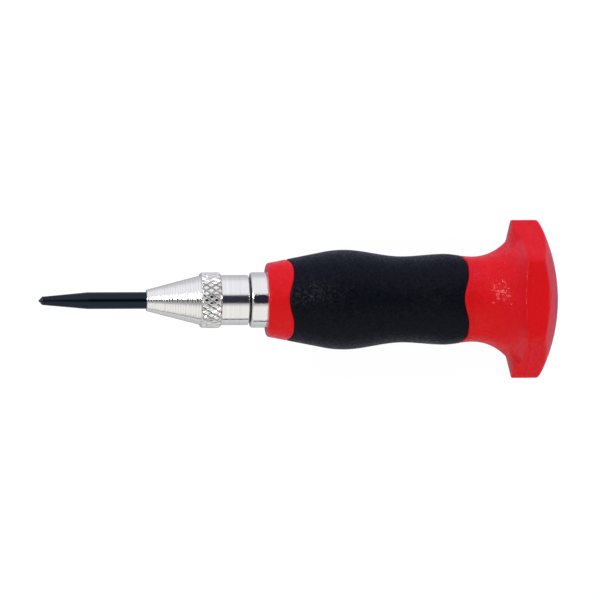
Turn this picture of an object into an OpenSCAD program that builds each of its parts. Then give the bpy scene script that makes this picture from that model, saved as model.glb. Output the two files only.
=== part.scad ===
// Automatic centre punch with a two-shot palm handle.
// Every piece is turned about its own Z axis, with the tip of the punch at z = 0 and the palm at the far end.
// lay_down() then puts the tool on its side, resting on one flat of the six-sided palm flange.

/* [Punch point] */
// Included angle of the tip
tip_angle = 90; // [60:5:120]
// Diameter where the tip meets the taper
tip_d = 2.1; // [1:0.1:3]
// Length of the taper, from the very tip
taper_len = 12.4; // [8:0.2:16]
// Diameter of the shank that slides in the nose
shank_d = 4.2; // [3.4:0.1:4.6]
// How far the point stands out of the nose at rest
reach = 27; // [22:0.5:34]
// Diameter of the flange that keeps the point in the nose
flange_d = 7.6; // [6.8:0.1:8]
// Thickness of that flange
flange_len = 3; // [2.4:0.1:4]

/* [Nose cap] */
// Diameter of the front face
nose_d = 5.3; // [5:0.1:6]
// Length of the cone
cone_len = 13.4; // [12.4:0.2:18]
// Diameter of the cone where it meets the knurled ring
cone_d = 12.3; // [12:0.1:13]
// Diameter of the knurled ring
knurl_d = 14; // [13:0.1:16]
// Length of the knurled ring
knurl_len = 5.1; // [4:0.1:7]
// Chamfer on the ends of the knurled ring
knurl_chamfer = 0.5; // [0.2:0.1:0.8]
// Length of the bore that guides the shank
guide_len = 9; // [8.6:0.2:11]

/* [Barrel] */
// Diameter of the barrel where it shows
barrel_d = 12.5; // [12:0.1:13.4]
// Length of the barrel that shows behind the nose cap
barrel_show = 6.9; // [5:0.1:10]
// Diameter of the threaded spigot that holds the nose cap
spigot_d = 10.4; // [10:0.1:10.8]
// Diameter of the threaded tail that screws into the ferrule
tail_d = 11; // [10.6:0.1:11.4]
// Thickness of the web that centres the drive pin
web_len = 3; // [2:0.1:4]

/* [Ferrule] */
// Outside diameter of the ferrule
ferrule_d = 13.8; // [13.2:0.1:14.6]
// Length of the ferrule that shows in front of the handle
ferrule_show = 4.1; // [3:0.1:7]
// Whole length of the ferrule
ferrule_len = 62; // [58:0.5:66]
// Radius of the front edge of the ferrule
ferrule_round = 0.6; // [0.3:0.1:0.9]
// Gap between barrel and ferrule, taken up when the handle is screwed home
adjust_gap = 0.5; // [0.4:0.1:1]
// Thickness of the plug that closes the ferrule
plug_len = 2.5; // [1.5:0.1:4]

/* [Trip mechanism] */
// How far the point is pushed in before the hammer is let go
stroke = 9.2; // [7:0.1:10]
// Diameter of the thick part of the drive pin
pin_d = 3.2; // [3:0.1:3.4]
// Diameter of the thin end of the drive pin
pin_tip_d = 2.4; // [2.2:0.1:2.5]
// Lean of the drive pin at rest, in degrees
pin_lean = 1.2; // [0.8:0.1:1.3]
// Diameter of the hammer
hammer_d = 8; // [7.6:0.1:8.2]
// Length of the hammer, without its spring boss
hammer_len = 18; // [14:0.5:20]
// Length of the return spring at rest
return_len = 19; // [18:0.5:21]
// Wire of the return spring
return_wire = 0.6; // [0.4:0.05:0.7]
// Turns of the return spring
return_turns = 9; // [6:1:10]
// Wire of the hammer spring
spring_wire = 1.3; // [1:0.05:1.4]
// Turns of the hammer spring
spring_turns = 12; // [8:1:13]
// Thickness of the spring seat
seat_len = 2; // [1.2:0.1:3]
// Length of the bosses that centre the hammer spring
boss_len = 3; // [2:0.1:4]

/* [Handle] */
// Length of the handle, from its front face to the top of the palm
handle_len = 73; // [66:0.5:80]
// Diameter behind the front lip
lip_d = 18.6; // [17.6:0.1:20]
// Radius of the front lip
lip_round = 0.8; // [0.4:0.1:0.9]
// Diameter at the end of the straight taper behind the lip
shoulder_d = 24; // [22:0.1:24.6]
// Distance of that end from the front face
shoulder_at = 14.5; // [13:0.5:15.5]
// Diameter of the finger bulge
bulge_d = 24.9; // [22:0.1:28]
// Distance of the bulge from the front face
bulge_at = 19.5; // [17:0.5:22]
// Diameter of the waist
waist_d = 21.5; // [20:0.1:22]
// Distance of the waist from the top of the palm
waist_at = 39; // [37:0.5:41]
// Diameter of the heel of the grip
heel_d = 22.7; // [22:0.1:24]
// Distance of the heel from the top of the palm
heel_at = 28.4; // [27:0.2:30]
// Diameter of the neck
neck_d = 21.3; // [20.6:0.1:22]
// Distance of the neck from the top of the palm
neck_at = 21.4; // [20.6:0.2:22]
// Radius of the hollow between neck and palm flange
neck_round = 11.5; // [10.5:0.1:12]
// Diameter where that hollow meets the underside of the flange
flare_d = 29; // [27:0.2:31]
// Slope of the underside of the flange, in degrees
under_slope = 13.5; // [8:0.5:16]
// Width of the palm flange across its flats
palm_flats = 35; // [33:0.5:37]
// Radius of the corners of the palm flange
palm_corner = 2.6; // [1:0.1:5]
// Length of the round edge in front of the flats
palm_round = 3.2; // [1:0.2:4]
// Radius of the domed top of the palm
dome_r = 42; // [38:0.5:60]

/* [Grip sleeve] */
// Diameter of the handle core under the grip
core_d = 17; // [16.4:0.1:17.4]
// Distance of the front edge of the grip from the front face
grip_at = 6.1; // [5:0.1:9]
// Length of the grip
grip_len = 43.6; // [42:0.1:45]
// Depth of the waves along both edges of the grip
wave_depth = 1.3; // [0.4:0.1:2]
// Pitch of those waves, measured across the handle
wave_pitch = 13.6; // [12:0.1:15]

/* [Hidden] */
$fn = 96;

// Radial clearances: sliding fits, screw threads, loose pieces and the release hole
slide_gap = 0.05;
thread_gap = 0.05;
loose_gap = 0.15;
release_gap = 0.1;
// The hammer stops this far short of the web, and the pin this far short of the hammer
rest_gap = 0.1;
catch_gap = 0.2;
// The hammer strikes the pin this far before it would reach the web
strike_gap = 0.2;
// Small edge breaks, finer at the front of the nose
edge = 0.3;
nose_edge = 0.2;
arc_steps = 16;

// Places along the axis, from the tip
z_nose = reach;
z_flange = z_nose + guide_len;
z_flange_back = z_flange + flange_len;
z_knurl = z_nose + cone_len;
z_cap_end = z_knurl + knurl_len;
z_barrel_end = z_cap_end + barrel_show;
z_ferrule = z_barrel_end + adjust_gap;
z_handle = z_ferrule + ferrule_show;
z_web = z_flange_back + return_len;
z_web_back = z_web + web_len;
z_hammer = z_web_back + rest_gap;
z_hammer_back = z_hammer + hammer_len;
z_ferrule_end = z_ferrule + ferrule_len;
z_plug = z_ferrule_end - plug_len;
z_seat = z_plug - seat_len;
z_tail = z_seat - 2 * adjust_gap;
z_dome = z_handle + handle_len;
z_neck = z_dome - neck_at;
z_grip = z_handle + grip_at;

// Bores that several pieces share
chamber_r = flange_d / 2 + loose_gap;
hammer_bore_r = hammer_d / 2 + slide_gap;
release_r = pin_tip_d / 2 + release_gap;
ferrule_bore_r = tail_d / 2 + thread_gap;
spring_r = hammer_d / 2 - spring_wire / 2 - loose_gap;
boss_r = spring_r - spring_wire / 2 - loose_gap;

// The web lets the pin through, and also its thin end while it leans
web_bore_r = max(pin_d / 2 + loose_gap,
                 pin_tip_d / 2 + (z_web_back - z_flange_back) * tan(pin_lean) + slide_gap);

// The drive pin reaches from its ball in the punch to just short of the hammer
pin_len = z_hammer - catch_gap - z_flange_back;
pin_tip_len = stroke - catch_gap - rest_gap - strike_gap;
release_depth = stroke + hammer_d / 4;

// The palm flange is a hexagon with round corners
palm_r = palm_flats / 2;
rim_r = palm_r / cos(30);

// Points round an arc, where first = 1 leaves out the point that it starts from
function arc(centre, radius, from, to, first = 0) =
    [for (i = [first:arc_steps]) let (a = from + (to - from) * i / arc_steps)
        centre + radius * [cos(a), sin(a)]];

// Smooth curve of radius over height between two stations, each [height, radius, slope]
function blend(a, b) =
    [for (i = [1:arc_steps]) let (t = i / arc_steps, run = b[0] - a[0])
        [(2 * t^3 - 3 * t^2 + 1) * a[1] + (t^3 - 2 * t^2 + t) * run * a[2]
         + (3 * t^2 - 2 * t^3) * b[1] + (t^3 - t^2) * run * b[2],
         a[0] + t * run]];

// Outline of the handle, from the front lip to the end of the hollow behind the neck, as [radius, height]
taper_slope = (shoulder_d - lip_d) / 2 / (shoulder_at - lip_round);
grip_stations = [[z_handle + shoulder_at, shoulder_d / 2, taper_slope],
                 [z_handle + bulge_at, bulge_d / 2, 0],
                 [z_dome - waist_at, waist_d / 2, 0],
                 [z_dome - heel_at, heel_d / 2, 0],
                 [z_neck, neck_d / 2, 0]];
flare_angle = acos(1 - (flare_d - neck_d) / 2 / neck_round);
z_flare = z_neck + neck_round * sin(flare_angle);
handle_outline = concat(
    [[0, z_handle]],
    arc([lip_d / 2 - lip_round, z_handle + lip_round], lip_round, -90, 0),
    [[shoulder_d / 2, z_handle + shoulder_at]],
    [for (i = [0:len(grip_stations) - 2]) each blend(grip_stations[i], grip_stations[i + 1])],
    arc([neck_d / 2 + neck_round, z_neck], neck_round, 180, 180 - flare_angle, first = 1),
    [[0, z_flare]]);

// Swelling of the palm flange, from a circle at t = 0, just inside the end of that hollow, to the whole
// hexagon at t = 1. The flats bend on a parabola that starts along the underside, and the corners tighten.
swell_steps = 6;
swell_r = flare_d / 2 - slide_gap;
z_flat = z_flare + (palm_r - swell_r) * tan(under_slope);
z_palm = z_flat + palm_round;
function swell_height(t) = (1 - t)^2 * z_flare + 2 * t * (1 - t) * z_flat + t^2 * z_palm;
function swell_half(t) = palm_r - (1 - t)^2 * (palm_r - swell_r);
function swell_corner(t) = palm_corner + (1 - t)^3 * (swell_r - palm_corner);

// Puts a piece that was turned about Z in its place on the bench
module lay_down()
    translate([-z_dome / 2, 0, palm_r]) rotate([0, 90, 0]) children();

module turned(outline)
    rotate_extrude() polygon(outline);

module bore(from, to, radius)
    translate([0, 0, from]) cylinder(h = to - from, r = radius);

// Closed coil of round wire, whose first and last turns lie nearly flat
module coil(front, back, front_r, back_r, wire, turns) {
    steps = 14;
    sides = 6;
    flat_pitch = 1.15 * wire;
    rise = back - front - wire;
    pitch = (rise - 2 * flat_pitch) / (turns - 2);
    count = turns * steps;
    function height(turn) =
        turn < 1 ? flat_pitch * turn
        : turn > turns - 1 ? rise - flat_pitch * (turns - turn)
        : flat_pitch + pitch * (turn - 1);
    points = [for (i = [0:count], k = [0:sides - 1])
        let (turn = i / steps,
             b = 360 * k / sides + 30,
             r = front_r + (back_r - front_r) * i / count + wire / 2 * cos(b))
        [r * cos(360 * turn), r * sin(360 * turn), front + wire / 2 + height(turn) + wire / 2 * sin(b)]];
    walls = [for (i = [0:count - 1], k = [0:sides - 1])
        let (a = i * sides + k,
             b = i * sides + (k + 1) % sides)
        each [[a, b, a + sides], [b, b + sides, a + sides]]];
    first_end = [for (k = [0:sides - 1]) sides - 1 - k];
    last_end = [for (k = [0:sides - 1]) count * sides + k];
    polyhedron(points, concat(walls, [first_end, last_end]));
}

// Hexagon across the given half width, with round corners
module round_hexagon(half_width, corner) {
    corner_steps = 8;
    corner_place = (half_width - corner) / cos(30);
    polygon([for (side = [0:5], i = [0:corner_steps])
        let (middle = 30 + 60 * side,
             a = middle - 30 + 60 * i / corner_steps)
        corner_place * [cos(middle), sin(middle)] + corner * [cos(a), sin(a)]]);
}

// All that lies behind a wave that runs round the handle, in four lobes.
// Two sheets that wave across the handle, at right angles, make the lobes of one side each.
module behind_wave(height) {
    half = bulge_d;
    wave_steps = 48;
    for (turn = [0, 90]) rotate([90, 0, 90 + turn]) linear_extrude(2 * half, center = true) polygon(concat(
        [for (i = [0:wave_steps]) let (across = half * (2 * i / wave_steps - 1))
            [across, height - wave_depth / 2 * cos(360 * across / wave_pitch)]],
        [[half, height + handle_len], [-half, height + handle_len]]));
}

// The room that the soft grip takes, between two wavy edges and outside the core
module grip_room() difference() {
    behind_wave(z_grip);
    behind_wave(z_grip + grip_len);
    bore(z_handle, z_dome, core_d / 2);
}

module ferrule_blank() {
    r = ferrule_d / 2;
    groove = 0.5;
    groove_len = 2;
    turned(concat(
        [[0, z_ferrule]],
        arc([r - ferrule_round, z_ferrule + ferrule_round], ferrule_round, -90, 0),
        [for (i = [1:3]) let (z = z_handle + i * (z_ferrule_end - z_handle) / 4)
            each [[r, z], [r - groove, z + groove],
                  [r - groove, z + groove_len], [r, z + groove_len + groove]]],
        [[r, z_ferrule_end], [0, z_ferrule_end]]));
}

module punch_point() color("#1c1e22") lay_down() {
    tip_len = tip_d / 2 / tan(tip_angle / 2);
    flange_r = flange_d / 2;
    difference() {
        turned([[0, 0], [tip_d / 2, tip_len], [shank_d / 2, taper_len], [shank_d / 2, z_flange],
                [flange_r - edge, z_flange], [flange_r, z_flange + edge],
                [flange_r, z_flange_back - edge], [flange_r - edge, z_flange_back], [0, z_flange_back]]);
        translate([0, 0, z_flange_back]) sphere(r = pin_d / 2 + slide_gap);
    }
}

module nose_cap() color("#d9d9d6") lay_down() {
    knurl_r = knurl_d / 2;
    difference() {
        turned([[0, z_nose], [nose_d / 2 - nose_edge, z_nose], [nose_d / 2, z_nose + nose_edge],
                [cone_d / 2, z_knurl],
                [knurl_r - knurl_chamfer, z_knurl], [knurl_r, z_knurl + knurl_chamfer],
                [knurl_r, z_cap_end - knurl_chamfer], [knurl_r - knurl_chamfer, z_cap_end], [0, z_cap_end]]);
        bore(z_nose - 1, z_flange + 1, shank_d / 2 + slide_gap);
        bore(z_flange, z_cap_end, chamber_r);
        bore(z_knurl, z_cap_end + 1, spigot_d / 2 + thread_gap);
    }
}

module barrel() color("#d4d4d2") lay_down() {
    spigot_front = z_knurl + rest_gap;
    difference() {
        turned([[0, spigot_front], [spigot_d / 2 - edge, spigot_front], [spigot_d / 2, spigot_front + edge],
                [spigot_d / 2, z_cap_end], [barrel_d / 2, z_cap_end], [barrel_d / 2, z_barrel_end],
                [tail_d / 2, z_barrel_end], [tail_d / 2, z_tail - edge],
                [tail_d / 2 - edge, z_tail], [0, z_tail]]);
        bore(spigot_front - 1, z_web, chamber_r);
        bore(z_web - 1, z_web_back + 1, web_bore_r);
        bore(z_web_back, z_tail + 1, hammer_bore_r);
    }
}

module return_spring() color("#b8babd") lay_down()
    coil(z_flange_back, z_web, chamber_r - return_wire / 2 - 2 * loose_gap, web_bore_r + return_wire,
         return_wire, return_turns);

// Leans on its ball end, so that its thin end catches on the face of the hammer
module drive_pin() color("#8d9094") lay_down()
    translate([0, 0, z_flange_back]) rotate([0, pin_lean, 0])
        turned(concat(
            arc([0, 0], pin_d / 2, -90, 0),
            [[pin_d / 2, pin_len - pin_tip_len - (pin_d - pin_tip_d) / 2],
             [pin_tip_d / 2, pin_len - pin_tip_len], [pin_tip_d / 2, pin_len], [0, pin_len]]));

module hammer() color("#8d9094") lay_down() {
    r = hammer_d / 2;
    difference() {
        turned([[0, z_hammer], [r - edge, z_hammer], [r, z_hammer + edge],
                [r, z_hammer_back - edge], [r - edge, z_hammer_back], [boss_r, z_hammer_back],
                [boss_r, z_hammer_back + boss_len - edge], [boss_r - edge, z_hammer_back + boss_len],
                [0, z_hammer_back + boss_len]]);
        bore(z_hammer - 1, z_hammer + release_depth, release_r);
    }
}

module hammer_spring() color("#b8babd") lay_down()
    coil(z_hammer_back, z_seat, spring_r, spring_r, spring_wire, spring_turns);

module spring_seat() color("#a9abad") lay_down() {
    r = ferrule_bore_r - slide_gap;
    turned([[0, z_seat - boss_len], [boss_r - edge, z_seat - boss_len], [boss_r, z_seat - boss_len + edge],
            [boss_r, z_seat], [r - edge, z_seat], [r, z_seat + edge], [r, z_plug], [0, z_plug]]);
}

module end_plug() color("#a9abad") lay_down()
    bore(z_plug, z_ferrule_end, ferrule_bore_r);

module ferrule() color("#d4d4d2") lay_down()
    difference() {
        ferrule_blank();
        bore(z_ferrule - 1, z_ferrule_end + 1, ferrule_bore_r);
    }

// The six-sided palm, rooted in the neck and cut off by the dome
module palm() {
    slice_len = 0.01;
    root_r = neck_d / 8;
    dome_angle = asin(rim_r / dome_r);
    intersection() {
        hull() {
            bore(z_neck, z_neck + root_r, root_r, $fn = 32);
            for (i = [0:swell_steps]) let (t = i / swell_steps)
                translate([0, 0, swell_height(t)])
                    linear_extrude(i < swell_steps ? slice_len : z_dome - z_palm)
                        round_hexagon(swell_half(t), swell_corner(t));
        }
        turned(concat([[0, z_neck], [rim_r, z_neck]],
                      arc([0, z_dome - dome_r], dome_r, 90 - dome_angle, 90)));
    }
}

// The red moulding: front ring, the core under the grip, the neck and the six-sided palm
module handle_core() color("#d2141e") lay_down()
    difference() {
        union() {
            turned(handle_outline);
            palm();
        }
        grip_room();
        ferrule_blank();
    }

// The soft second shot, moulded into the recess of the core
module grip_sleeve() color("#17191c") lay_down()
    intersection() {
        turned(handle_outline);
        grip_room();
    }

punch_point();
nose_cap();
barrel();
return_spring();
drive_pin();
hammer();
hammer_spring();
spring_seat();
end_plug();
ferrule();
handle_core();
grip_sleeve();
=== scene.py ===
import bpy
import numpy as np
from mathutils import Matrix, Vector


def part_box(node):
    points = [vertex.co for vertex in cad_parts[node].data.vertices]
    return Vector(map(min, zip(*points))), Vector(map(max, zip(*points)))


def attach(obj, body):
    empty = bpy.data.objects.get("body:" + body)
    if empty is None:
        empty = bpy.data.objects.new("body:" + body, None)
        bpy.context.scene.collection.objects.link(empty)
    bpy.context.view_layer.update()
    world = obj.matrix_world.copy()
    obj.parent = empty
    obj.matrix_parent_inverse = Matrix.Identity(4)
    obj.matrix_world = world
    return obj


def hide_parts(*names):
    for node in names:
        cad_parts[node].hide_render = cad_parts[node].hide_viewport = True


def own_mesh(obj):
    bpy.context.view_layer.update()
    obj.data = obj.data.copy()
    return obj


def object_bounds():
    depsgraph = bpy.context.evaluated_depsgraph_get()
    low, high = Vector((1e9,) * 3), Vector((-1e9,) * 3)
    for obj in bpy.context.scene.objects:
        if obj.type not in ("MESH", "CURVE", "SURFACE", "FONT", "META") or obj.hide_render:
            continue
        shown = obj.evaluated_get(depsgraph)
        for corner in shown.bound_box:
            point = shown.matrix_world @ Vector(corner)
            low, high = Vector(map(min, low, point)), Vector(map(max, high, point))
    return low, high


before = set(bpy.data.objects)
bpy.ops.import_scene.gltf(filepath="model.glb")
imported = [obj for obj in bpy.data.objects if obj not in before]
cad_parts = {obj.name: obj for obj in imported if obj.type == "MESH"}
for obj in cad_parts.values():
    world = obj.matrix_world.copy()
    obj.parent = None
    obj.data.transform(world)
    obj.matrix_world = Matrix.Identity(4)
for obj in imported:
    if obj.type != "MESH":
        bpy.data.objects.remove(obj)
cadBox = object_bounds()
scene = bpy.context.scene
mm = 0.001

# Places that every piece shares: distances are millimetres from the tip, along the tool, and the pieces'
# sizes are in millimetres too
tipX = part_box("punch_point")[0].x
axisZ = (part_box("barrel")[0].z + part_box("barrel")[1].z) / 2

# Ways in an outline, whose points are (distance, radius)
rearward = np.array([1.0, 0.0])
outward = np.array([0.0, 1.0])
inward = np.array([0.0, -1.0])


# Front and back of a node, in millimetres from the tip
def spanOf(node):
    low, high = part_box(node)
    return (low.x - tipX) / mm, (high.x - tipX) / mm


# Largest radius of a node, in millimetres
def radiusOf(node):
    low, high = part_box(node)
    return (high.y - low.y) / 2 / mm


print("frame loaded, tool length", round(spanOf("handle_core")[1], 2), "mm")


# Arc that rounds a corner: it starts one tangent length before the corner and
# turns from the way in to the way out on a circle of the given radius
def cornerArc(corner, wayIn, wayOut, rounding, steps=6):
    corner, wayIn, wayOut = np.broadcast_arrays(corner, wayIn, wayOut)
    cross = wayIn[..., 0] * wayOut[..., 1] - wayIn[..., 1] * wayOut[..., 0]
    turn = np.arctan2(cross, (wayIn * wayOut).sum(-1))
    side = np.sign(turn)[..., None] * np.stack([-wayIn[..., 1], wayIn[..., 0]], -1)
    share = np.linspace(0, 1, steps + 1).reshape(-1, *[1] * turn.ndim)
    angle = (np.abs(turn) * share)[..., None]
    start = corner - rounding * np.tan(np.abs(turn) / 2)[..., None] * wayIn
    return start + rounding * (np.sin(angle) * wayIn + (1 - np.cos(angle)) * side)


# Outline of a turned piece: straight runs between corners (distance, radius, rounding), where a
# rounded corner is an arc with a guard point on each side that keeps the runs flat in shading
def roundedOutline(corners, guard=0.04):
    points = np.array([corner[:2] for corner in corners], float)
    ways = np.diff(points, axis=0)
    ways /= np.linalg.norm(ways, axis=1)[:, None]
    parts = [points[:1]]
    for i, corner in enumerate(corners[1:-1]):
        if corner[2]:
            arc = cornerArc(points[i + 1], ways[i], ways[i + 1], corner[2])
            parts += [arc[:1] - guard * ways[i], arc, arc[-1:] + guard * ways[i + 1]]
        else:
            parts.append(points[i + 1:i + 2])
    return np.concatenate(parts + [points[-1:]])


# Even angles round the tool, from the top towards +Y
def roundAngles(spokes):
    return np.arange(spokes) * 2 * np.pi / spokes


# The same outline for every spoke
def allRound(outline, phi):
    return np.broadcast_to(outline[:, None, :], (len(outline), len(phi), 2))


# Points at distances from the tip and radii, turned round the axis by angles
def aroundAxis(s, r, phi):
    return np.stack([tipX + mm * s, mm * r * np.sin(phi), axisZ + mm * r * np.cos(phi)], -1)


# Turned grid: an outline of (distance, radius), one for all spokes or one for each, carried round the axis
def turnedGrid(outline, phi):
    outline = allRound(outline, phi) if outline.ndim == 2 else outline
    return aroundAxis(outline[..., 0], outline[..., 1], phi)


# Points on the axis, for the poles of a closed piece
def axisPoints(*distances):
    return np.array([[tipX + mm * s, 0, axisZ] for s in distances])


# Object in the scene that shows the given data
def addObject(name, data):
    made = bpy.data.objects.new(name, data)
    scene.collection.objects.link(made)
    return made


# Skin over a grid of rings and spokes: quads between neighbouring rings, and either the last ring
# joins the first, or each end closes on a pole with triangles
def addSkin(name, grid, poles=None, sharpAngle=32):
    rings, spokes = grid.shape[:2]
    index = np.arange(rings * spokes).reshape(rings, spokes)
    lower, upper = (index, np.roll(index, -1, 0)) if poles is None else (index[:-1], index[1:])
    quads = np.stack([lower, upper, np.roll(upper, -1, 1), np.roll(lower, -1, 1)], -1)
    points, faces = grid.reshape(-1, 3), quads.reshape(-1, 4).tolist()
    if poles is not None:
        points = np.concatenate([points, poles])
        first, last = index[0], index[-1]
        start, end = np.full(spokes, rings * spokes), np.full(spokes, rings * spokes + 1)
        faces += np.stack([start, first, np.roll(first, -1)], -1).tolist()
        faces += np.stack([last, end, np.roll(last, -1)], -1).tolist()
    mesh = bpy.data.meshes.new(name)
    mesh.from_pydata(points, [], faces)
    mesh.shade_smooth()
    mesh.set_sharp_from_angle(angle=np.radians(sharpAngle))
    return addObject(name, mesh)


# A value for each point of the grid, which materials read by name; poles take the value given
def addAttribute(piece, name, values, poleValue=0.0):
    full = np.full(len(piece.data.vertices), poleValue, np.float32)
    full[:values.size] = values.ravel()
    piece.data.attributes.new(name, "FLOAT", "POINT").data.foreach_set("value", full)


# The piece stands for a node, moves with its body and takes the given finish
def seatPiece(piece, body, node, material):
    piece.data.materials.append(material)
    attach(piece, body)
    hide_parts(node)


# Adds a node to a tree: an input given as a socket is linked, any other value is set
def addNode(tree, kind, values=None, **settings):
    made = tree.nodes.new(kind)
    for key, value in settings.items():
        setattr(made, key, value)
    for key, value in (values or {}).items():
        if isinstance(value, bpy.types.NodeSocket):
            tree.links.new(value, made.inputs[key])
        else:
            made.inputs[key].default_value = value
    return made


# Result of one operation on one or two values
def calc(tree, operation, first, second=0.0):
    return addNode(tree, "ShaderNodeMath", {0: first, 1: second}, operation=operation).outputs[0]


# Spreads a value from one range to another
def spread(tree, value, low, high, fromLow=0.0, fromHigh=1.0):
    given = {"Value": value, "From Min": fromLow, "From Max": fromHigh, "To Min": low, "To Max": high}
    return addNode(tree, "ShaderNodeMapRange", given).outputs["Result"]


# The second value times the share, plus the first times what is left of it
def blend(tree, share, first, second):
    rest = calc(tree, "MULTIPLY", first, calc(tree, "SUBTRACT", 1.0, share))
    return calc(tree, "ADD", calc(tree, "MULTIPLY", second, share), rest)


# The first colour where the share is nought, the second where it is one; each is a socket or three values
def mixColours(tree, share, first, second):
    given = {0: share}
    for place, colour in ((6, first), (7, second)):
        given[place] = colour if isinstance(colour, bpy.types.NodeSocket) else (*colour, 1)
    return addNode(tree, "ShaderNodeMix", given, data_type="RGBA").outputs[2]


# Value of a mesh's own attribute, nought where it has none
def attributeOf(tree, name):
    return addNode(tree, "ShaderNodeAttribute", attribute_name=name).outputs["Fac"]


# Soft noise with the given number of waves to the metre
def noise(tree, vector, scale, detail=2.0):
    given = {"Vector": vector, "Scale": scale, "Detail": detail}
    return addNode(tree, "ShaderNodeTexNoise", given).outputs[0]


# One of the vector operations
def vectorCalc(tree, operation, first, second):
    return addNode(tree, "ShaderNodeVectorMath", {0: first, 1: second}, operation=operation).outputs


# Empty effect group with float inputs and outputs
def newGroup(name, inputs, outputs):
    tree = bpy.data.node_groups.new(name, "ShaderNodeTree")
    for label, value in inputs.items():
        socket = tree.interface.new_socket(label, in_out="INPUT", socket_type="NodeSocketFloat")
        socket.default_value = value
    for label in outputs:
        tree.interface.new_socket(label, in_out="OUTPUT", socket_type="NodeSocketFloat")
    entry = tree.nodes.new("NodeGroupInput")
    leave = tree.nodes.new("NodeGroupOutput")
    place = tree.nodes.new("ShaderNodeTexCoord").outputs["Object"]
    return tree, entry.outputs, leave.inputs, place


# Fineness and slowness are how much smaller the facets and larger the mottle are than the grain's size
grainPlan = {"inputs": {"Size": 0.4, "Pebbles": 0.3}, "softness": 0.6, "fineness": 1.2, "slowness": 16.0,
             "middle": (0.5, 0.5, 0.5)}


# Moulded grain: smooth pebbles of the given size mixed with noise, facets that each lean their own way from
# the middle of a cell, a tone of its own for each facet, and a slow mottle
def makeMouldedGrain(plan):
    tree, given, result, place = newGroup("mouldedGrain", plan["inputs"],
                                          ["Height", "Facet", "Grain", "Mottle"])
    scale = calc(tree, "DIVIDE", 1 / mm, given["Size"])
    fineScale = calc(tree, "MULTIPLY", scale, plan["fineness"])
    cells = addNode(tree, "ShaderNodeTexVoronoi", {
        "Vector": place, "Scale": scale, "Smoothness": plan["softness"]}, feature="SMOOTH_F1")
    pebble = calc(tree, "SUBTRACT", 1.0, cells.outputs["Distance"])
    height = blend(tree, given["Pebbles"], noise(tree, place, fineScale, 0.0), pebble)
    facets = addNode(tree, "ShaderNodeTexVoronoi", {"Vector": place, "Scale": fineScale}).outputs
    away = vectorCalc(tree, "SUBTRACT", place, facets["Position"])[0]
    lean = vectorCalc(tree, "SUBTRACT", facets["Color"], plan["middle"])[0]
    rise = vectorCalc(tree, "DOT_PRODUCT", away, lean)["Value"]
    tone = addNode(tree, "ShaderNodeSeparateColor", {0: facets["Color"]}).outputs[0]
    mottle = noise(tree, place, calc(tree, "DIVIDE", scale, plan["slowness"]))
    tree.links.new(height, result["Height"])
    tree.links.new(calc(tree, "MULTIPLY", rise, fineScale), result["Facet"])
    tree.links.new(tone, result["Grain"])
    tree.links.new(mottle, result["Mottle"])
    return tree


# Pitch and feed are in millimetres; lines are (lines to the pitch, detail) of the two outputs
linesPlan = {"inputs": {"Pitch": 0.3, "Waver": 0.2, "Feed": 0.63}, "waverScale": 260.0, "harshness": 0.65,
             "lines": {"Height": (1.0, 3.0), "Tone": (0.31, 2.0)}}


# Turned lines: noise over the distance along the tool alone, with a little waver round it, and the even
# wave that the feed of the lathe leaves, a sine of the distance
def makeTurnedLines(plan):
    tree, given, result, place = newGroup("turnedLines", plan["inputs"], ["Height", "Tone", "Wave"])
    along = addNode(tree, "ShaderNodeSeparateXYZ", {0: place}).outputs["X"]
    phase = calc(tree, "DIVIDE", along, calc(tree, "MULTIPLY", given["Feed"], mm / (2 * np.pi)))
    tree.links.new(spread(tree, calc(tree, "SINE", phase), 0.0, 1.0, -1.0, 1.0), result["Wave"])
    turns = calc(tree, "DIVIDE", along, calc(tree, "MULTIPLY", given["Pitch"], mm))
    waver = calc(tree, "MULTIPLY", noise(tree, place, plan["waverScale"]), given["Waver"])
    turns = calc(tree, "ADD", turns, waver)
    for label, (number, detail) in plan["lines"].items():
        lines = addNode(tree, "ShaderNodeTexNoise", {
            "W": calc(tree, "MULTIPLY", turns, number), "Scale": 1.0, "Detail": detail,
            "Roughness": plan["harshness"]}, noise_dimensions="1D")
        tree.links.new(lines.outputs[0], result[label])
    return tree


mouldedGrain = makeMouldedGrain(grainPlan)
turnedLines = makeTurnedLines(linesPlan)


# Outputs of an effect group with the given values
def useGroup(tree, group, values):
    return addNode(tree, "ShaderNodeGroup", values, node_tree=group).outputs


# Material with its shader, ready for links; the values are set on the shader's own sockets
def newMaterial(name, values):
    material = bpy.data.materials.new(name)
    material.use_nodes = True
    tree = material.node_tree
    shader = tree.nodes["Principled BSDF"]
    for key, value in values.items():
        shader.inputs[key].default_value = value
    return material, tree, shader


# Links colour, roughness and the bump of a height, which is the given number of millimetres deep
def dress(tree, shader, colour, roughness, height, depth):
    bump = addNode(tree, "ShaderNodeBump", {"Height": height, "Distance": depth * mm, "Strength": 1.0})
    tree.links.new(colour, shader.inputs["Base Color"])
    tree.links.new(roughness, shader.inputs["Roughness"])
    tree.links.new(bump.outputs[0], shader.inputs["Normal"])


# In every finish, sizes, depths and pitches are in millimetres, and smooth and rough are the two ends of its
# roughness
redFinish = {"light": (0.67, 0.0095, 0.0095), "deep": (0.625, 0.0075, 0.0075), "grainSize": 0.55,
             "grainDepth": 0.125, "smooth": 0.12, "rough": 0.2, "bending": 1.15, "bloom": 0.05,
             "bloomTint": (0.4, 0.1, 1.0, 1), "bloomSpread": 0.5}


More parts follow.
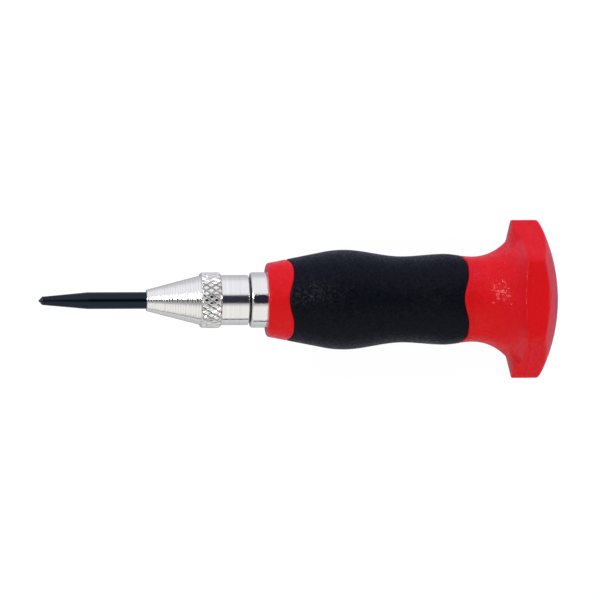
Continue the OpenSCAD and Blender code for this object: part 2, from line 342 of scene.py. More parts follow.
# Finely textured red moulding, a little uneven in tone, whose facets sparkle
def makeRedPlastic(look):
    material, tree, shader = newMaterial("redPlastic", {
        "IOR": look["bending"], "Sheen Weight": look["bloom"], "Sheen Tint": look["bloomTint"],
        "Sheen Roughness": look["bloomSpread"]})
    grain = useGroup(tree, mouldedGrain, {"Size": look["grainSize"]})
    colour = mixColours(tree, grain["Mottle"], look["light"], look["deep"])
    roughness = spread(tree, grain["Grain"], look["smooth"], look["rough"])
    dress(tree, shader, colour, roughness, grain["Facet"], look["grainDepth"])
    return material


gripFinish = {"light": (0.0032, 0.0036, 0.0034), "deep": (0.0, 0.0, 0.0), "grainSize": 0.46,
              "grainDepth": 0.13, "smooth": 0.34, "rough": 0.48, "mottle": (0.25, 0.75), "gloss": 0.065,
              "bloom": 0.045, "bloomTint": (0.15, 0.35, 1.0, 1), "bloomSpread": 0.6}


# Soft black second shot, from facet to facet a little lighter or darker, and slowly duller or glossier
def makeSoftGrip(look):
    material, tree, shader = newMaterial("softGrip", {
        "Specular IOR Level": look["gloss"], "Sheen Weight": look["bloom"], "Sheen Tint": look["bloomTint"],
        "Sheen Roughness": look["bloomSpread"]})
    grain = useGroup(tree, mouldedGrain, {"Size": look["grainSize"]})
    colour = mixColours(tree, grain["Grain"], look["deep"], look["light"])
    roughness = spread(tree, grain["Mottle"], look["smooth"], look["rough"], *look["mottle"])
    dress(tree, shader, colour, roughness, grain["Facet"], look["grainDepth"])
    return material


plateFinish = {"bright": (0.8, 0.8, 0.795), "dim": (0.66, 0.66, 0.655), "crevice": (0.11, 0.09, 0.075),
               "waver": 0.15}
turnedMarks = {"pitch": 0.5, "depth": 0.2, "smooth": 0.07, "rough": 0.14, "feed": 0.25, "grainSize": 0.0}
brightMarks = {"pitch": 0.3, "depth": 0.003, "smooth": 0.1, "rough": 0.2, "feed": 0.0, "grainSize": 0.0}
blastedMarks = {"pitch": 0.4, "depth": 0.02, "smooth": 0.05, "rough": 0.1, "feed": 0.0, "grainSize": 0.35}


# Bright plating over turned steel, which lines and a share of feed marks roughen, or blasted grain in their
# place. A knurl has none of them, and the colour is darker and browner in the hollows of knurl and thread.
def makePlatedSteel(name, look, marks):
    material, tree, shader = newMaterial(name, {"Metallic": 1.0})
    lines = useGroup(tree, turnedLines, {"Pitch": marks["pitch"], "Waver": look["waver"]})
    height, tone = [blend(tree, marks["feed"], lines[label], lines["Wave"]) for label in ("Height", "Tone")]
    if marks["grainSize"]:
        height = useGroup(tree, mouldedGrain, {"Size": marks["grainSize"]})["Height"]
    plain = calc(tree, "SUBTRACT", 1.0, attributeOf(tree, "knurled"))
    height = calc(tree, "MULTIPLY", height, plain)
    colour = mixColours(tree, tone, look["dim"], look["bright"])
    # Darker, browner colour in the hollows, as much as the hollow attribute gives
    colour = mixColours(tree, attributeOf(tree, "hollow"), colour, look["crevice"])
    roughness = spread(tree, height, marks["smooth"], marks["rough"])
    dress(tree, shader, colour, roughness, height, marks["depth"])
    return material


blackFinish = {"oxide": (0.017, 0.024, 0.033), "worn": (0.16, 0.17, 0.18), "pitch": 0.35, "waver": 0.3,
               "depth": 0.004, "smooth": 0.2, "rough": 0.3}


# Black oxide over ground steel, worn to grey on the tip
def makeBlackSteel(look):
    material, tree, shader = newMaterial("blackSteel", {"Metallic": 1.0})
    lines = useGroup(tree, turnedLines, {"Pitch": look["pitch"], "Waver": look["waver"]})
    colour = mixColours(tree, attributeOf(tree, "wear"), look["oxide"], look["worn"])
    roughness = spread(tree, lines["Height"], look["smooth"], look["rough"])
    dress(tree, shader, colour, roughness, lines["Height"], look["depth"])
    return material


innerFinish = {"waver": 0.5, "depth": 0.006, "smooth": 0.25, "rough": 0.45}
hardFinish = {"dark": (0.42, 0.42, 0.43), "light": (0.56, 0.56, 0.57), "pitch": 0.25, **innerFinish}
springFinish = {"dark": (0.48, 0.48, 0.5), "light": (0.64, 0.64, 0.66), "pitch": 0.6, **innerFinish}


# Plain ground or drawn steel of the inner pieces, brighter along its lines
def makeInnerSteel(name, look):
    material, tree, shader = newMaterial(name, {"Metallic": 1.0})
    lines = useGroup(tree, turnedLines, {"Pitch": look["pitch"], "Waver": look["waver"]})
    colour = mixColours(tree, lines["Tone"], look["dark"], look["light"])
    roughness = spread(tree, lines["Height"], look["smooth"], look["rough"])
    dress(tree, shader, colour, roughness, lines["Height"], look["depth"])
    return material


redPlastic = makeRedPlastic(redFinish)
softGrip = makeSoftGrip(gripFinish)
turnedPlate = makePlatedSteel("turnedPlate", plateFinish, turnedMarks)
brightPlate = makePlatedSteel("brightPlate", plateFinish, brightMarks)
blastedPlate = makePlatedSteel("blastedPlate", plateFinish, blastedMarks)
blackSteel = makeBlackSteel(blackFinish)
hardSteel = makeInnerSteel("hardSteel", hardFinish)
springSteel = makeInnerSteel("springSteel", springFinish)
print("materials made:", len(bpy.data.materials))

# The tip's flat is a share of its bluntness; angles are degrees, and the socket has a ring at each step
punchShape = {"tipRadius": 1.05, "tipAngle": 90, "tipEdge": 0.15, "bluntness": 0.08, "tipFlat": 0.2,
              "taperLength": 12.4, "taperRounding": 2.0, "shankRadius": 2.1, "flangeLength": 3.0,
              "flangeEdge": 0.3, "socketRadius": 1.65, "socketStep": 12, "wornLength": 1.1, "spokes": 96}


# Punch: a blunt cone, a long taper, the shank and the rear flange, closed by the round socket of the pin
def makePunchPoint(shape):
    back, flangeRadius = spanOf("punch_point")[1], radiusOf("punch_point")
    flange = back - shape["flangeLength"]
    cone = shape["tipRadius"] / np.tan(np.radians(shape["tipAngle"] / 2))
    blunt, flat, edge = shape["bluntness"], shape["tipFlat"], shape["flangeEdge"]
    shank, socket = shape["shankRadius"], shape["socketRadius"]
    body = roundedOutline([
        (blunt, flat * blunt, 0), ((1 + flat) * blunt, blunt, 0),
        (cone, shape["tipRadius"], shape["tipEdge"]), (shape["taperLength"], shank, shape["taperRounding"]),
        (flange, shank, 0), (flange, flangeRadius, edge), (back, flangeRadius, edge), (back, socket, 0)])
    deep = np.radians(np.arange(shape["socketStep"], 90, shape["socketStep"]))
    hollow = np.stack([back - socket * np.sin(deep), socket * np.cos(deep)], -1)
    outline = np.concatenate([body, hollow])
    grid = turnedGrid(outline, roundAngles(shape["spokes"]))
    piece = addSkin("punch_point_look", grid, axisPoints(blunt, back - socket))
    wear = np.clip(1 - outline[:, 0] / shape["wornLength"], 0, 1)
    addAttribute(piece, "wear", np.repeat(wear, shape["spokes"]), 1.0)
    seatPiece(piece, "punch", "punch_point", blackSteel)


noseShape = {"frontRadius": 2.65, "frontEdge": 0.2, "boreRadius": 2.15, "coneRadius": 6.15,
             "ringLength": 5.1, "ringEdge": 0.5, "ringStep": 0.05, "socketRadius": 5.25,
             "chamberRadius": 3.95, "guideLength": 9.0, "diamondsRound": 27, "diamondLength": 2.45,
             "grooveDepths": (0.32, 0.28), "land": 0.62, "topLean": 0.11, "hollowDarkening": 0.7, "sharpAngle": 40,
             "rings": 76, "spokes": 540}


# A number from 0 to 1 for each pair of whole numbers, scattered but the same each run: what a large sine
# has after its point
def scatter(first, second, strides=(12.9898, 78.233), size=43758.5453):
    return np.sin(strides[0] * first + strides[1] * second) * size % 1


# Knurl: two families of V grooves, where turns plus or minus distance is a whole number, cut to their own
# depths with a flat land between them, under a chamfered blank. Each diamond's top leans its own way.
def knurlRadius(s, phi, front, back, radius, shape):
    blank = radius - shape["ringEdge"] + np.minimum(shape["ringEdge"], np.minimum(s - front, back - s))
    turns, along = shape["diamondsRound"] * phi / (2 * np.pi), (s - front) / shape["diamondLength"]
    families = np.stack([turns + along, turns - along])
    near = 1 - np.minimum(1, 2 * np.abs(families - np.round(families)) / (1 - shape["land"]))
    cut = (near * np.reshape(shape["grooveDepths"], (2, 1, 1))).max(0)
    place = np.floor(families)
    column, row = place.sum(0) % (2 * shape["diamondsRound"]), place[0] - place[1]
    leans = np.stack([scatter(column, row), scatter(row, column)]) - 0.5
    top = 0.5 + (leans * (families - place - 0.5) * 2).sum(0)
    hollow = cut / max(shape["grooveDepths"])
    return np.minimum(blank, radius - cut - shape["topLean"] * top * (1 - hollow)), hollow


# Nose cap: bores and cone as one turned outline, then the knurled ring, whose last row meets the first bore
def makeNoseCap(shape):
    front, back = spanOf("nose_cap")
    ring, guide, radius = back - shape["ringLength"], front + shape["guideLength"], radiusOf("nose_cap")
    socket, chamber, bore = shape["socketRadius"], shape["chamberRadius"], shape["boreRadius"]
    phi = roundAngles(shape["spokes"])
    body = allRound(roundedOutline([
        (back, socket, 0), (ring, socket, 0), (ring, chamber, 0), (guide, chamber, 0), (guide, bore, 0),
        (front, bore, 0), (front, shape["frontRadius"], shape["frontEdge"]), (ring, shape["coneRadius"], 0),
        (ring, radius - shape["ringEdge"] - shape["ringStep"], 0)]), phi)
    s = np.linspace(ring, back, shape["rings"])[:, None] + 0 * phi
    r, hollow = knurlRadius(s, phi, ring, back, radius, shape)
    outline = np.concatenate([body, np.stack([s, r], -1)])
    piece = addSkin("nose_cap_look", turnedGrid(outline, phi), sharpAngle=shape["sharpAngle"])
    plain = np.zeros(body.shape[:2])
    # The knurl's grooves take the darker, browner colour by the square of their depth
    addAttribute(piece, "hollow", np.concatenate([plain, shape["hollowDarkening"] * hollow ** 2]))
    addAttribute(piece, "knurled", np.concatenate([plain, np.ones(hollow.shape)]))
    seatPiece(piece, "barrel", "nose_cap", turnedPlate)


# Margins keep the thread's rows off the ends of its run
barrelShape = {"spigotRadius": 5.2, "bandEdge": 0.18, "seam": 0.5, "tailRadius": 5.5, "chamberRadius": 3.95,
               "webFront": 58.0, "webLength": 3.0, "webBore": 1.75, "hammerBore": 4.05, "edge": 0.3,
               "threadPitch": 1.0, "threadDepth": 0.5, "threadLength": 15.0, "relief": 0.4,
               "margins": (0.02, 0.1), "rings": 181, "spokes": 144}


# Barrel: the bright band, then a right-handed thread whose depth is a triangle wave of distance plus turns,
# the plain tail, and back through the hammer bore, the web and the chamber
def makeBarrel(shape):
    front, back = spanOf("barrel")
    bandFront, bandBack = spanOf("nose_cap")[1], spanOf("ferrule")[0] - shape["seam"]
    radius, bandEdge, edge = radiusOf("barrel"), shape["bandEdge"], shape["edge"]
    spigot, tail = shape["spigotRadius"], shape["tailRadius"]
    webFront, webBack = shape["webFront"], shape["webFront"] + shape["webLength"]
    web, chamber, hammer = shape["webBore"], shape["chamberRadius"], shape["hammerBore"]
    root, threadBack = tail - shape["threadDepth"], bandBack + shape["threadLength"]
    phi = roundAngles(shape["spokes"])
    band = roundedOutline([
        (webFront, web, 0), (webFront, chamber, 0), (front, chamber, 0), (front, spigot, edge),
        (bandFront, spigot, 0), (bandFront, radius, bandEdge), (bandBack, radius, bandEdge),
        (bandBack, root, 0)])
    rear = roundedOutline([
        (threadBack, tail, 0), (back, tail, edge), (back, hammer, 0), (webBack, hammer, 0),
        (webBack, web, 0)])
    startMargin, endMargin = shape["margins"]
    s = np.linspace(bandBack + startMargin, threadBack - endMargin, shape["rings"])[:, None] + 0 * phi
    turns = s / shape["threadPitch"] + phi / (2 * np.pi)
    depth = shape["threadDepth"] * (1 - 2 * np.abs(turns - np.round(turns)))
    fade = np.clip((threadBack - s) / shape["threadPitch"], 0, 1)
    thread = np.where(s < bandBack + shape["relief"], root, tail - depth * fade)
    outline = np.concatenate([allRound(band, phi), np.stack([s, thread], -1), allRound(rear, phi)])
    piece = addSkin("barrel_look", turnedGrid(outline, phi))
    # The thread and everything behind it take the darker, browner colour
    hollow = np.ones(outline.shape[:2])
    hollow[:len(band) - 1] = 0
    addAttribute(piece, "hollow", hollow)
    seatPiece(piece, "barrel", "barrel", brightPlate)


ferruleShape = {"boreRadius": 5.55, "frontRounding": 0.6, "grooveDepth": 0.5, "grooveLength": 2.0,
                "grooves": 3, "spokes": 160}


# Ferrule: a tube with a round front edge and evenly spaced anchor grooves inside the moulding
def makeFerrule(shape):
    front, back = spanOf("ferrule")
    face, radius, bore = spanOf("handle_core")[0], radiusOf("ferrule"), shape["boreRadius"]
    depth, length, number = shape["grooveDepth"], shape["grooveLength"], shape["grooves"]
    starts = face + (back - face) * np.arange(1, number + 1) / (number + 1)
    grooves = [corner for start in starts for corner in (
        (start, radius, 0), (start + depth, radius - depth, 0), (start + length, radius - depth, 0),
        (start + length + depth, radius, 0))]
    outline = roundedOutline([
        (front, bore, 0), (front, radius, shape["frontRounding"]), *grooves, (back, radius, 0),
        (back, bore, 0)])
    piece = addSkin("ferrule_look", turnedGrid(outline, roundAngles(shape["spokes"])))
    seatPiece(piece, "handle", "ferrule", blastedPlate)


# Stations are (distance, radius): shoulder and bulge from the front face, the others from the top of the
# palm. Rows are how many rings each stretch of the surface has.
handleShape = {"lipRadius": 9.3, "lipRounding": 0.8, "shoulder": (14.5, 12.0), "bulge": (19.5, 12.45),
               "waist": (39.0, 10.75), "heel": (28.4, 11.35), "neck": (21.4, 10.65), "neckRounding": 11.5,
               "flareRadius": 14.5, "flareEdge": 1.2, "underSlope": 13.5, "flatHollow": 13.5,
               "sixFrom": 12.5, "fallBack": 0.3, "swellEdge": 0.45, "cornerRounding": 2.6,
               "domeRadius": 42.0, "domeEdge": 0.9, "coreRadius": 8.5, "edgeRounding": 0.35,
               "partingAt": 8.0, "partingHeight": 0.05, "partingWidth": 0.3, "spokes": 384, "crowding": 0.1,
               "rows": {"ring": 28, "neck": 20, "hollow": 40, "under": 16, "line": 7, "side": 5,
                        "dome": 40}}
gripShape = {"front": 5.75, "length": 43.6, "waveDepth": 1.3, "wavePitch": 14.0, "edgeRounding": 0.35,
             "seam": 0.03, "rows": 120, "spokes": 384}
handleFront, handleTop = spanOf("handle_core")
neckAt = handleTop - handleShape["neck"][0]


# Radius of the handle over distance: a straight taper to the shoulder, and from there cubic runs through
# the other stations, level at each of them
def handleRadius(s):
    shape = handleShape
    at = np.array([handleFront + shape["lipRounding"],
                   *[handleFront + shape[name][0] for name in ("shoulder", "bulge")],
                   *[handleTop - shape[name][0] for name in ("waist", "heel", "neck")]])
    stations = ("shoulder", "bulge", "waist", "heel", "neck")
    radius = np.array([shape["lipRadius"], *[shape[name][1] for name in stations]])
    taper = (radius[1] - radius[0]) / (at[1] - at[0])
    slope = np.array([taper, taper, 0, 0, 0, 0])
    i = np.clip(np.searchsorted(at, s) - 1, 0, len(at) - 2)
    run = at[i + 1] - at[i]
    t = (s - at[i]) / run
    return ((2 * t ** 3 - 3 * t ** 2 + 1) * radius[i] + (t ** 3 - 2 * t ** 2 + t) * run * slope[i]
            + (3 * t ** 2 - 2 * t ** 3) * radius[i + 1] + (t ** 3 - t ** 2) * run * slope[i + 1])


# Points on the handle's surface, (distance, radius)
def onHandle(s):
    return np.stack([s, handleRadius(s)], -1)


# Points on the floor of the recess that the grip fills
def onCore(s):
    return np.stack([s, np.full(s.shape, handleShape["coreRadius"])], -1)


# Way along the handle's surface at a distance, as a unit (distance, radius)
def handleWay(s, step=0.05):
    way = np.stack([np.full(s.shape, 2 * step), handleRadius(s + step) - handleRadius(s - step)], -1)
    return way / np.linalg.norm(way, axis=-1, keepdims=True)


# Wavy edge of the grip: a lobe towards the point on each of four sides, one turn of a cosine across the
# handle, with straight valleys between the lobes
def waveEdge(s, phi):
    across = handleRadius(s) * np.minimum(np.abs(np.sin(phi)), np.abs(np.cos(phi)))
    crest = np.cos(2 * np.pi * np.minimum(across / gripShape["wavePitch"], 0.5))
    return s - gripShape["waveDepth"] / 2 * crest


# Radius of the palm flange over the angle: a hexagon with flats up and down, and its corners rounded
def hexagonRadius(phi, halfFlats, rounding):
    away = np.abs((phi + np.pi / 6) % (np.pi / 3) - np.pi / 6)
    centre = (halfFlats - rounding) / np.cos(np.pi / 6)
    beside = np.clip(centre * np.sin(np.pi / 6 - away) / rounding, -1, 1)
    corner = centre * np.cos(np.pi / 6 - away) + rounding * np.sqrt(1 - beside ** 2)
    return np.where(halfFlats * np.tan(away) > centre / 2, corner, halfFlats / np.cos(away))


# Evenly spaced rows between two distances, at least one of which has a value for each spoke
def rowsBetween(start, end, count, kept=slice(1, -1)):
    return start + (end - start) * np.linspace(0, 1, count)[kept, None]


# Angles that crowd at the six corners of the flange, where the surface turns
def crowdedAngles(spokes, crowding):
    even = roundAngles(spokes)
    return even + crowding * np.sin(6 * even)


# Share from nought to one, with a smooth start and end
def eased(share):
    share = np.clip(share, 0, 1)
    return share ** 2 * (3 - 2 * share)


# Flare and flange from the neck to the sides. Over the flats it is one hollow arc, whose section turns
# from round to six-sided, and falls back a little towards the corners. At the two corners in the mould's
# parting plane it is a tighter arc and then a straight steep underside, with a smooth mix beside them.
# Its edge is rounded on the way to the sides.
def flareRows(sides, halfFlats, phi, shape):
    neck, tight, wide = shape["neck"][1], shape["neckRounding"], shape["flatHollow"]
    under = np.radians(shape["underSlope"])
    underWay = np.array([np.sin(under), np.cos(under)])
    flareTurn = np.arccos(1 - (shape["flareRadius"] - neck) / tight)
    flareEnd = np.array([neckAt + tight * np.sin(flareTurn), shape["flareRadius"]])
    flareWay = np.array([np.cos(flareTurn), np.sin(flareTurn)])
    edge = cornerArc(flareEnd, flareWay, underWay, shape["flareEdge"])
    turn = np.linspace(0, np.arcsin((edge[0, 0] - neckAt) / tight), shape["rows"]["hollow"])[1:-1]
    hollow = np.stack([neckAt + tight * np.sin(turn), neck + tight * (1 - np.cos(turn))], -1)
    rise = (sides.max() - edge[-1, 1]) * np.linspace(0, 1, shape["rows"]["under"])[1:, None]
    steep = np.concatenate([hollow, edge, edge[-1] + rise * underWay / underWay[1]])[:, None, :]
    grown = (steep[..., 1] - neck) / (sides.max() - neck)
    half = neck + grown * (halfFlats - neck)
    late = eased((half - shape["sixFrom"]) / (halfFlats - shape["sixFrom"]))
    rounding = shape["cornerRounding"] + (half - shape["cornerRounding"]) * (1 - late)
    r = hexagonRadius(phi, half, rounding)
    s = neckAt + wide * np.sin(np.arccos(1 - (half - neck) / wide)) + shape["fallBack"] * (r - half)
    share = eased((np.abs(np.sin(phi)) - np.sin(np.pi / 3)) / (1 - np.sin(np.pi / 3)))
    s = s + (steep[..., 0] - s) * share
    r = r + (neck + grown * (sides - neck) - r) * share
    rows = np.stack([s, r], -1)
    upward = (rows[-1] - rows[-2]) / np.linalg.norm(rows[-1] - rows[-2], axis=-1, keepdims=True)
    return np.concatenate([rows[:-1], cornerArc(rows[-1], upward, rearward, shape["swellEdge"])])


# Red moulding from the bottom of the ferrule's bore round the lip, down into the wavy recess and out again,
# over the neck, and up the flange, past a fine parting line, to the top of the dome
def makeHandleCore(shape):
    rows, bow = shape["rows"], shape["domeRadius"]
    phi = crowdedAngles(shape["spokes"], shape["crowding"])
    boreEnd, boreRadius = spanOf("ferrule")[1], radiusOf("ferrule")
    bore = np.array([[boreEnd, boreRadius], [handleFront, boreRadius]])
    lip = cornerArc(np.array([handleFront, shape["lipRadius"]]), outward, rearward, shape["lipRounding"])
    start = allRound(np.concatenate([bore, lip]), phi)
    grip = handleFront + gripShape["front"]
    frontEdge, rearEdge = waveEdge(grip, phi), waveEdge(grip + gripShape["length"], phi)
    frontArc = cornerArc(onHandle(frontEdge), handleWay(frontEdge), inward, shape["edgeRounding"])
    rearArc = cornerArc(onHandle(rearEdge), outward, handleWay(rearEdge), shape["edgeRounding"])
    ring = onHandle(rowsBetween(start[-1, :, 0], frontArc[0, :, 0], rows["ring"]))
    recess = np.stack([onCore(frontEdge), onCore(rearEdge)])
    neck = onHandle(rowsBetween(rearArc[-1, :, 0], neckAt, rows["neck"], slice(1, None)))
    halfFlats = axisZ / mm - shape["partingHeight"]
    sides = hexagonRadius(phi, halfFlats, shape["cornerRounding"])
    flare = flareRows(sides, halfFlats, phi, shape)
    lean = np.arcsin(sides / bow)
    domeStart = np.stack([handleTop - bow * (1 - np.cos(lean)), sides], -1)
    domeWay = np.stack([np.sin(lean), -np.cos(lean)], -1)
    domeArc = cornerArc(domeStart, rearward, domeWay, shape["domeEdge"])
    turn = np.arcsin(domeArc[-1, :, 1] / bow) * np.linspace(1, 0, rows["dome"])[1:-1, None]
    dome = np.stack([handleTop - bow * (1 - np.cos(turn)), bow * np.sin(turn)], -1)
    parting, half = handleTop - shape["partingAt"], shape["partingWidth"] / 2
    line = np.linspace(-half, half, rows["line"])[:, None] + parting + 0 * phi
    along = np.concatenate([line, rowsBetween(parting + half, domeArc[0, :, 0], rows["side"])])
    near = np.clip((along - parting) / half, -1, 1)
    side = np.stack([along, sides + shape["partingHeight"] * (1 + np.cos(np.pi * near)) / 2], -1)
    outline = np.concatenate([start, ring, frontArc, recess, rearArc, neck, flare, side, domeArc, dome])
    piece = addSkin("handle_core_look", turnedGrid(outline, phi), axisPoints(boreEnd, handleTop))
    seatPiece(piece, "handle", "handle_core", redPlastic)


# Soft grip: a sleeve that fills the recess, with the same wavy edges, each a seam's width inside it
def makeGripSleeve(shape):
    phi = roundAngles(shape["spokes"])
    grip = handleFront + shape["front"]
    frontEdge = waveEdge(grip, phi) + shape["seam"]
    rearEdge = waveEdge(grip + shape["length"], phi) - shape["seam"]
    frontArc = cornerArc(onHandle(frontEdge), outward, handleWay(frontEdge), shape["edgeRounding"])
    rearArc = cornerArc(onHandle(rearEdge), handleWay(rearEdge), inward, shape["edgeRounding"])
    rows = onHandle(rowsBetween(frontArc[-1, :, 0], rearArc[0, :, 0], shape["rows"]))
    outline = np.concatenate([onCore(frontEdge)[None], frontArc, rows, rearArc, onCore(rearEdge)[None]])
    piece = addSkin("grip_sleeve_look", turnedGrid(outline, phi))
    seatPiece(piece, "handle", "grip_sleeve", softGrip)


# The first and last turn rise by the given number of wires
coilGrid = {"endRise": 1.15, "perTurn": 40, "around": 14}
returnCoil = {"wire": 0.6, "turns": 9, "frontRadius": 3.35, "backRadius": 2.35, "stroke": 9.2, "room": 0.0,
              **coilGrid}
hammerCoil = {"wire": 1.3, "turns": 12, "frontRadius": 3.2, "backRadius": 3.2, "stroke": 9.2, "room": 0.45,
              **coilGrid}


# Coil: a circle of wire carried round the axis, rising evenly but for a nearly flat turn at each end.
# Room is left at its front for the adjustment, which it can't follow.
def makeCoil(node, body, shape):
    front, back = spanOf(node)[0] + shape["room"], spanOf(node)[1]
    wire, turns = shape["wire"] / 2, shape["turns"]
    turn = np.linspace(0, turns, turns * shape["perTurn"] + 1)[:, None]
    flat, rise = shape["endRise"] * shape["wire"], back - front - shape["wire"]
    middle = flat + (rise - 2 * flat) * (turn - 1) / (turns - 2)
    later = np.where(turn > turns - 1, rise - flat * (turns - turn), middle)
    height = np.where(turn < 1, flat * turn, later)
    around = roundAngles(shape["around"])
    coilRadius = shape["frontRadius"] + (shape["backRadius"] - shape["frontRadius"]) * turn / turns
    s = front + wire + height + wire * np.sin(around)
    grid = aroundAxis(s, coilRadius + wire * np.cos(around), np.pi - 2 * np.pi * turn + 0 * around)
    piece = addSkin(node + "_look", grid, grid[[0, -1]].mean(1))
    seatPiece(piece, body, node, springSteel)
    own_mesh(piece)


makePunchPoint(punchShape)
makeNoseCap(noseShape)
makeBarrel(barrelShape)
makeFerrule(ferruleShape)
makeHandleCore(handleShape)
makeGripSleeve(gripShape)
makeCoil("return_spring", "barrel", returnCoil)
makeCoil("hammer_spring", "spring_seat", hammerCoil)
for innerNode in ("drive_pin", "hammer", "spring_seat", "end_plug"):
    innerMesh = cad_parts[innerNode].data
    innerMesh.materials.clear()
    innerMesh.materials.append(hardSteel)

# The stage is in metres, but the picture's width and centre are millimetres at the height of the axis
cameraPlan = {"distance": 2.6, "lean": 5.3, "roll": -0.23, "width": 149.7, "centre": (0.5, -0.05),
              "sensor": 36}


# Camera above the tool, leaning towards the point, with the point to the left
def makeCamera(plan):
    data = bpy.data.cameras.new("camera")
    data.sensor_width = plan["sensor"]
    data.lens = plan["sensor"] * plan["distance"] / (plan["width"] * mm)
    camera = addObject("camera", data)
    lean, roll = np.radians(plan["lean"]), np.radians(plan["roll"])
    back, (x, y) = plan["distance"] * np.sin(lean), plan["centre"]
    camera.location = (x * mm - back * np.cos(roll), y * mm - back * np.sin(roll),
                       axisZ + plan["distance"] * np.cos(lean))
    camera.rotation_euler = (0, -lean, roll)
    scene.camera = camera


# Card of one face, which belongs to the stage and not to the tool
def addCard(name, corners, material):
    mesh = bpy.data.meshes.new(name)
    mesh.from_pydata(corners, [], [list(range(len(corners)))])
    mesh.materials.append(material)
    card = addObject(name, mesh)
    return card


# Shares are how much of the glow shows in gloss: close beside the tool, a little off and far off; the low
# shares paint the tool's shadow into the floor's mirror image
floorPlan = {"reach": 0.9, "drop": 0.0002, "colour": 0.2, "roughness": 0.9, "glow": 0.87,
             "places": (0.006, 0.016, 0.105), "shares": (0.03, 0.55, 0.93),
             "head": (0.035, 0.06), "headShare": 0.35, "end": (0.07, 0.09), "endShare": 0.42}


# Share of the glow over the floor, a painted shadow in gloss: it rises with the distance from the tool, and
# is lower beside the palm
def glossShareWithPaintedShade(tree, plan):
    place = tree.nodes.new("ShaderNodeTexCoord").outputs["Object"]
    parts = addNode(tree, "ShaderNodeSeparateXYZ", {0: place}).outputs
    aside, along = calc(tree, "ABSOLUTE", parts["Y"]), parts["X"]
    away = calc(tree, "MAXIMUM", aside, calc(tree, "SUBTRACT", along, cadBox[1][0]))
    (close, near, far), (closeShare, nearShare, farShare) = plan["places"], plan["shares"]
    share = calc(tree, "ADD", spread(tree, away, closeShare, nearShare, close, near),
                 spread(tree, away, 0.0, farShare - nearShare, near, far))
    aroundHead = calc(tree, "ADD", spread(tree, along, 1.0, plan["headShare"], *plan["head"]),
                      spread(tree, along, 0.0, plan["endShare"], *plan["end"]))
    return calc(tree, "MULTIPLY", share, aroundHead)


# One for rays from the camera and what shines through, a share of it for mirror images, else nought
def seenByEye(tree, share):
    path = tree.nodes.new("ShaderNodeLightPath").outputs
    mirrored = calc(tree, "MULTIPLY", path["Is Glossy Ray"], share)
    seen = calc(tree, "MAXIMUM", path["Is Camera Ray"], path["Is Transmission Ray"])
    return calc(tree, "MAXIMUM", seen, mirrored)


# Pale floor just under the tool: it takes the shadow, and shows white to the camera and, with a painted
# shadow near the tool and beside the palm, to gloss
def makeFloor(plan):
    material, tree, shader = newMaterial("paleFloor", {
        "Base Color": (plan["colour"], plan["colour"], plan["colour"], 1), "Roughness": plan["roughness"],
        "Specular IOR Level": 0.0, "Emission Color": (1, 1, 1, 1)})
    # What gloss sees of the glow carries the painted shadow of the share
    glow = calc(tree, "MULTIPLY", seenByEye(tree, glossShareWithPaintedShade(tree, plan)), plan["glow"])
    tree.links.new(glow, shader.inputs["Emission Strength"])
    reach, height = plan["reach"], -plan["drop"]
    addCard("floor", [(-reach, -reach, height), (reach, -reach, height), (reach, reach, height),
                      (-reach, reach, height)], material)


# Ranges are parts of a direction: across from near to far, where the panels begin, and where they end
# towards the palm and towards the point
skyPlan = {"cool": (0.96, 0.955, 1.0), "warm": (1.0, 0.985, 0.95), "near": 1.1, "far": 1.15, "rest": 0.52,
           "across": (-0.7, 0.7), "panels": (0.3, 0.5), "palmEnd": (0.5, 0.8), "pointEnd": (-0.97, -0.8)}


# Soft light, brightest from two wide panels beside the tool, the far one cooler and the near one warmer;
# the eye sees white
def makeSky(plan):
    world = bpy.data.worlds.new("softSky")
    world.use_nodes = True
    scene.world = world
    tree = world.node_tree
    direction = tree.nodes.new("ShaderNodeTexCoord").outputs["Generated"]
    parts = addNode(tree, "ShaderNodeSeparateXYZ", {0: direction}).outputs
    farShare = spread(tree, parts["Y"], 0.0, 1.0, *plan["across"])
    tint = mixColours(tree, farShare, plan["warm"], plan["cool"])
    bright = spread(tree, farShare, plan["near"], plan["far"])
    sideward = spread(tree, calc(tree, "ABSOLUTE", parts["Y"]), 0.0, 1.0, *plan["panels"])
    palmward = spread(tree, parts["X"], 1.0, 0.0, *plan["palmEnd"])
    pointward = spread(tree, parts["X"], 0.0, 1.0, *plan["pointEnd"])
    share = calc(tree, "MULTIPLY", calc(tree, "MULTIPLY", sideward, palmward), pointward)
    level = spread(tree, share, plan["rest"], bright)
    eye = tree.nodes.new("ShaderNodeLightPath").outputs["Is Camera Ray"]
    back = tree.nodes["Background"]
    tree.links.new(tint, back.inputs["Color"])
    tree.links.new(spread(tree, eye, level, 1.0), back.inputs["Strength"])


# Flags are black cards that the camera doesn't see: one round it, narrower towards the point, which also
# takes light from above, and one on the floor below the picture, which only shows in gloss. The hood's
# outline is (place along the tool, width on the far side, width on the near side).
flagPlan = {
    "colour": (0.03, 0.033, 0.045, 1),
    "hood": {"height": 1.0, "outline": [(0.7, 0.4, 0.27), (0.0, 0.4, 0.26), (-0.4, 0.1, 0.1),
                                        (-0.65, 0.05, 0.05)]},
    "strip": {"height": 0.001, "reach": 0.5, "sides": (-0.09, -0.19)}}


# One flag, which shades dull surfaces too if asked
def makeFlag(name, corners, colour, shades):
    material = newMaterial(name, {"Base Color": colour, "Specular IOR Level": 0.0})[0]
    flag = addCard(name, corners, material)
    flag.visible_camera = flag.visible_shadow = flag.visible_transmission = False
    flag.visible_diffuse = shades


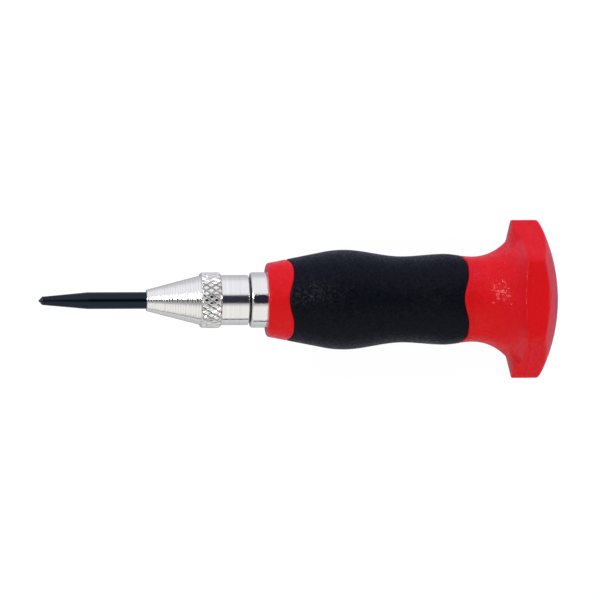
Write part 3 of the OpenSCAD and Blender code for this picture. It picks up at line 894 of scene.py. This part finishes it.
# Both flags, each from its outline
def makeFlags(plan):
    hood, strip = plan["hood"], plan["strip"]
    height = axisZ + hood["height"]
    far = [(x, y, height) for x, y, _ in hood["outline"]]
    near = [(x, -y, height) for x, _, y in reversed(hood["outline"])]
    makeFlag("hoodFlag", far + near, plan["colour"], True)
    reach, low, (inner, outer) = strip["reach"], strip["height"], strip["sides"]
    corners = [(-reach, inner, low), (-reach, outer, low), (reach, outer, low), (reach, inner, low)]
    makeFlag("stripFlag", corners, plan["colour"], False)


# Lamps: place is a direction from the tool, size in metres, power in watts. Those that shine show in
# gloss alone, the others only light what is dull.
white = (1.0, 1.0, 1.0)
lampPlan = {
    "farLamp": {"place": (0.0, 0.94, 0.34), "distance": 0.8, "size": 0.5, "power": 7.0, "shines": False,
                "tint": (0.45, 0.38, 1.0)},
    "nearLamp": {"place": (0.0, -0.94, 0.34), "distance": 0.8, "size": 0.5, "power": 1.8, "shines": False,
                 "tint": white},
    "endLamp": {"place": (0.98, 0.0, 0.17), "distance": 0.8, "size": 0.4, "power": 2.5, "shines": False,
                "tint": white},
    "pointLamp": {"place": (-0.95, 0.05, 0.3), "distance": 0.8, "size": 0.4, "power": 1.2, "shines": False,
                  "tint": (1.0, 0.9, 1.0)},
    "lowBox": {"place": (-0.72, 0.28, 0.7), "distance": 0.8, "size": 0.28, "power": 6.0, "shines": True,
               "tint": white},
    "highBox": {"place": (-0.38, 0.3, 0.87), "distance": 0.9, "size": 0.25, "power": 0.1, "shines": True,
                "tint": white}}


# Square lamps that face the tool
def makeLamps(plan):
    for name, lamp in plan.items():
        data = bpy.data.lights.new(name, "AREA")
        data.size, data.energy, data.color = lamp["size"], lamp["power"], lamp["tint"]
        made = addObject(name, data)
        made.location = np.array(lamp["place"]) / np.linalg.norm(lamp["place"]) * lamp["distance"]
        made.rotation_euler = (-made.location.normalized()).to_track_quat("-Z", "Y").to_euler()
        made.visible_glossy, made.visible_diffuse = lamp["shines"], not lamp["shines"]


makeCamera(cameraPlan)
makeFloor(floorPlan)
makeSky(skyPlan)
makeFlags(flagPlan)
makeLamps(lampPlan)
scene.view_settings.view_transform = "Standard"
print("camera, floor and light ready")
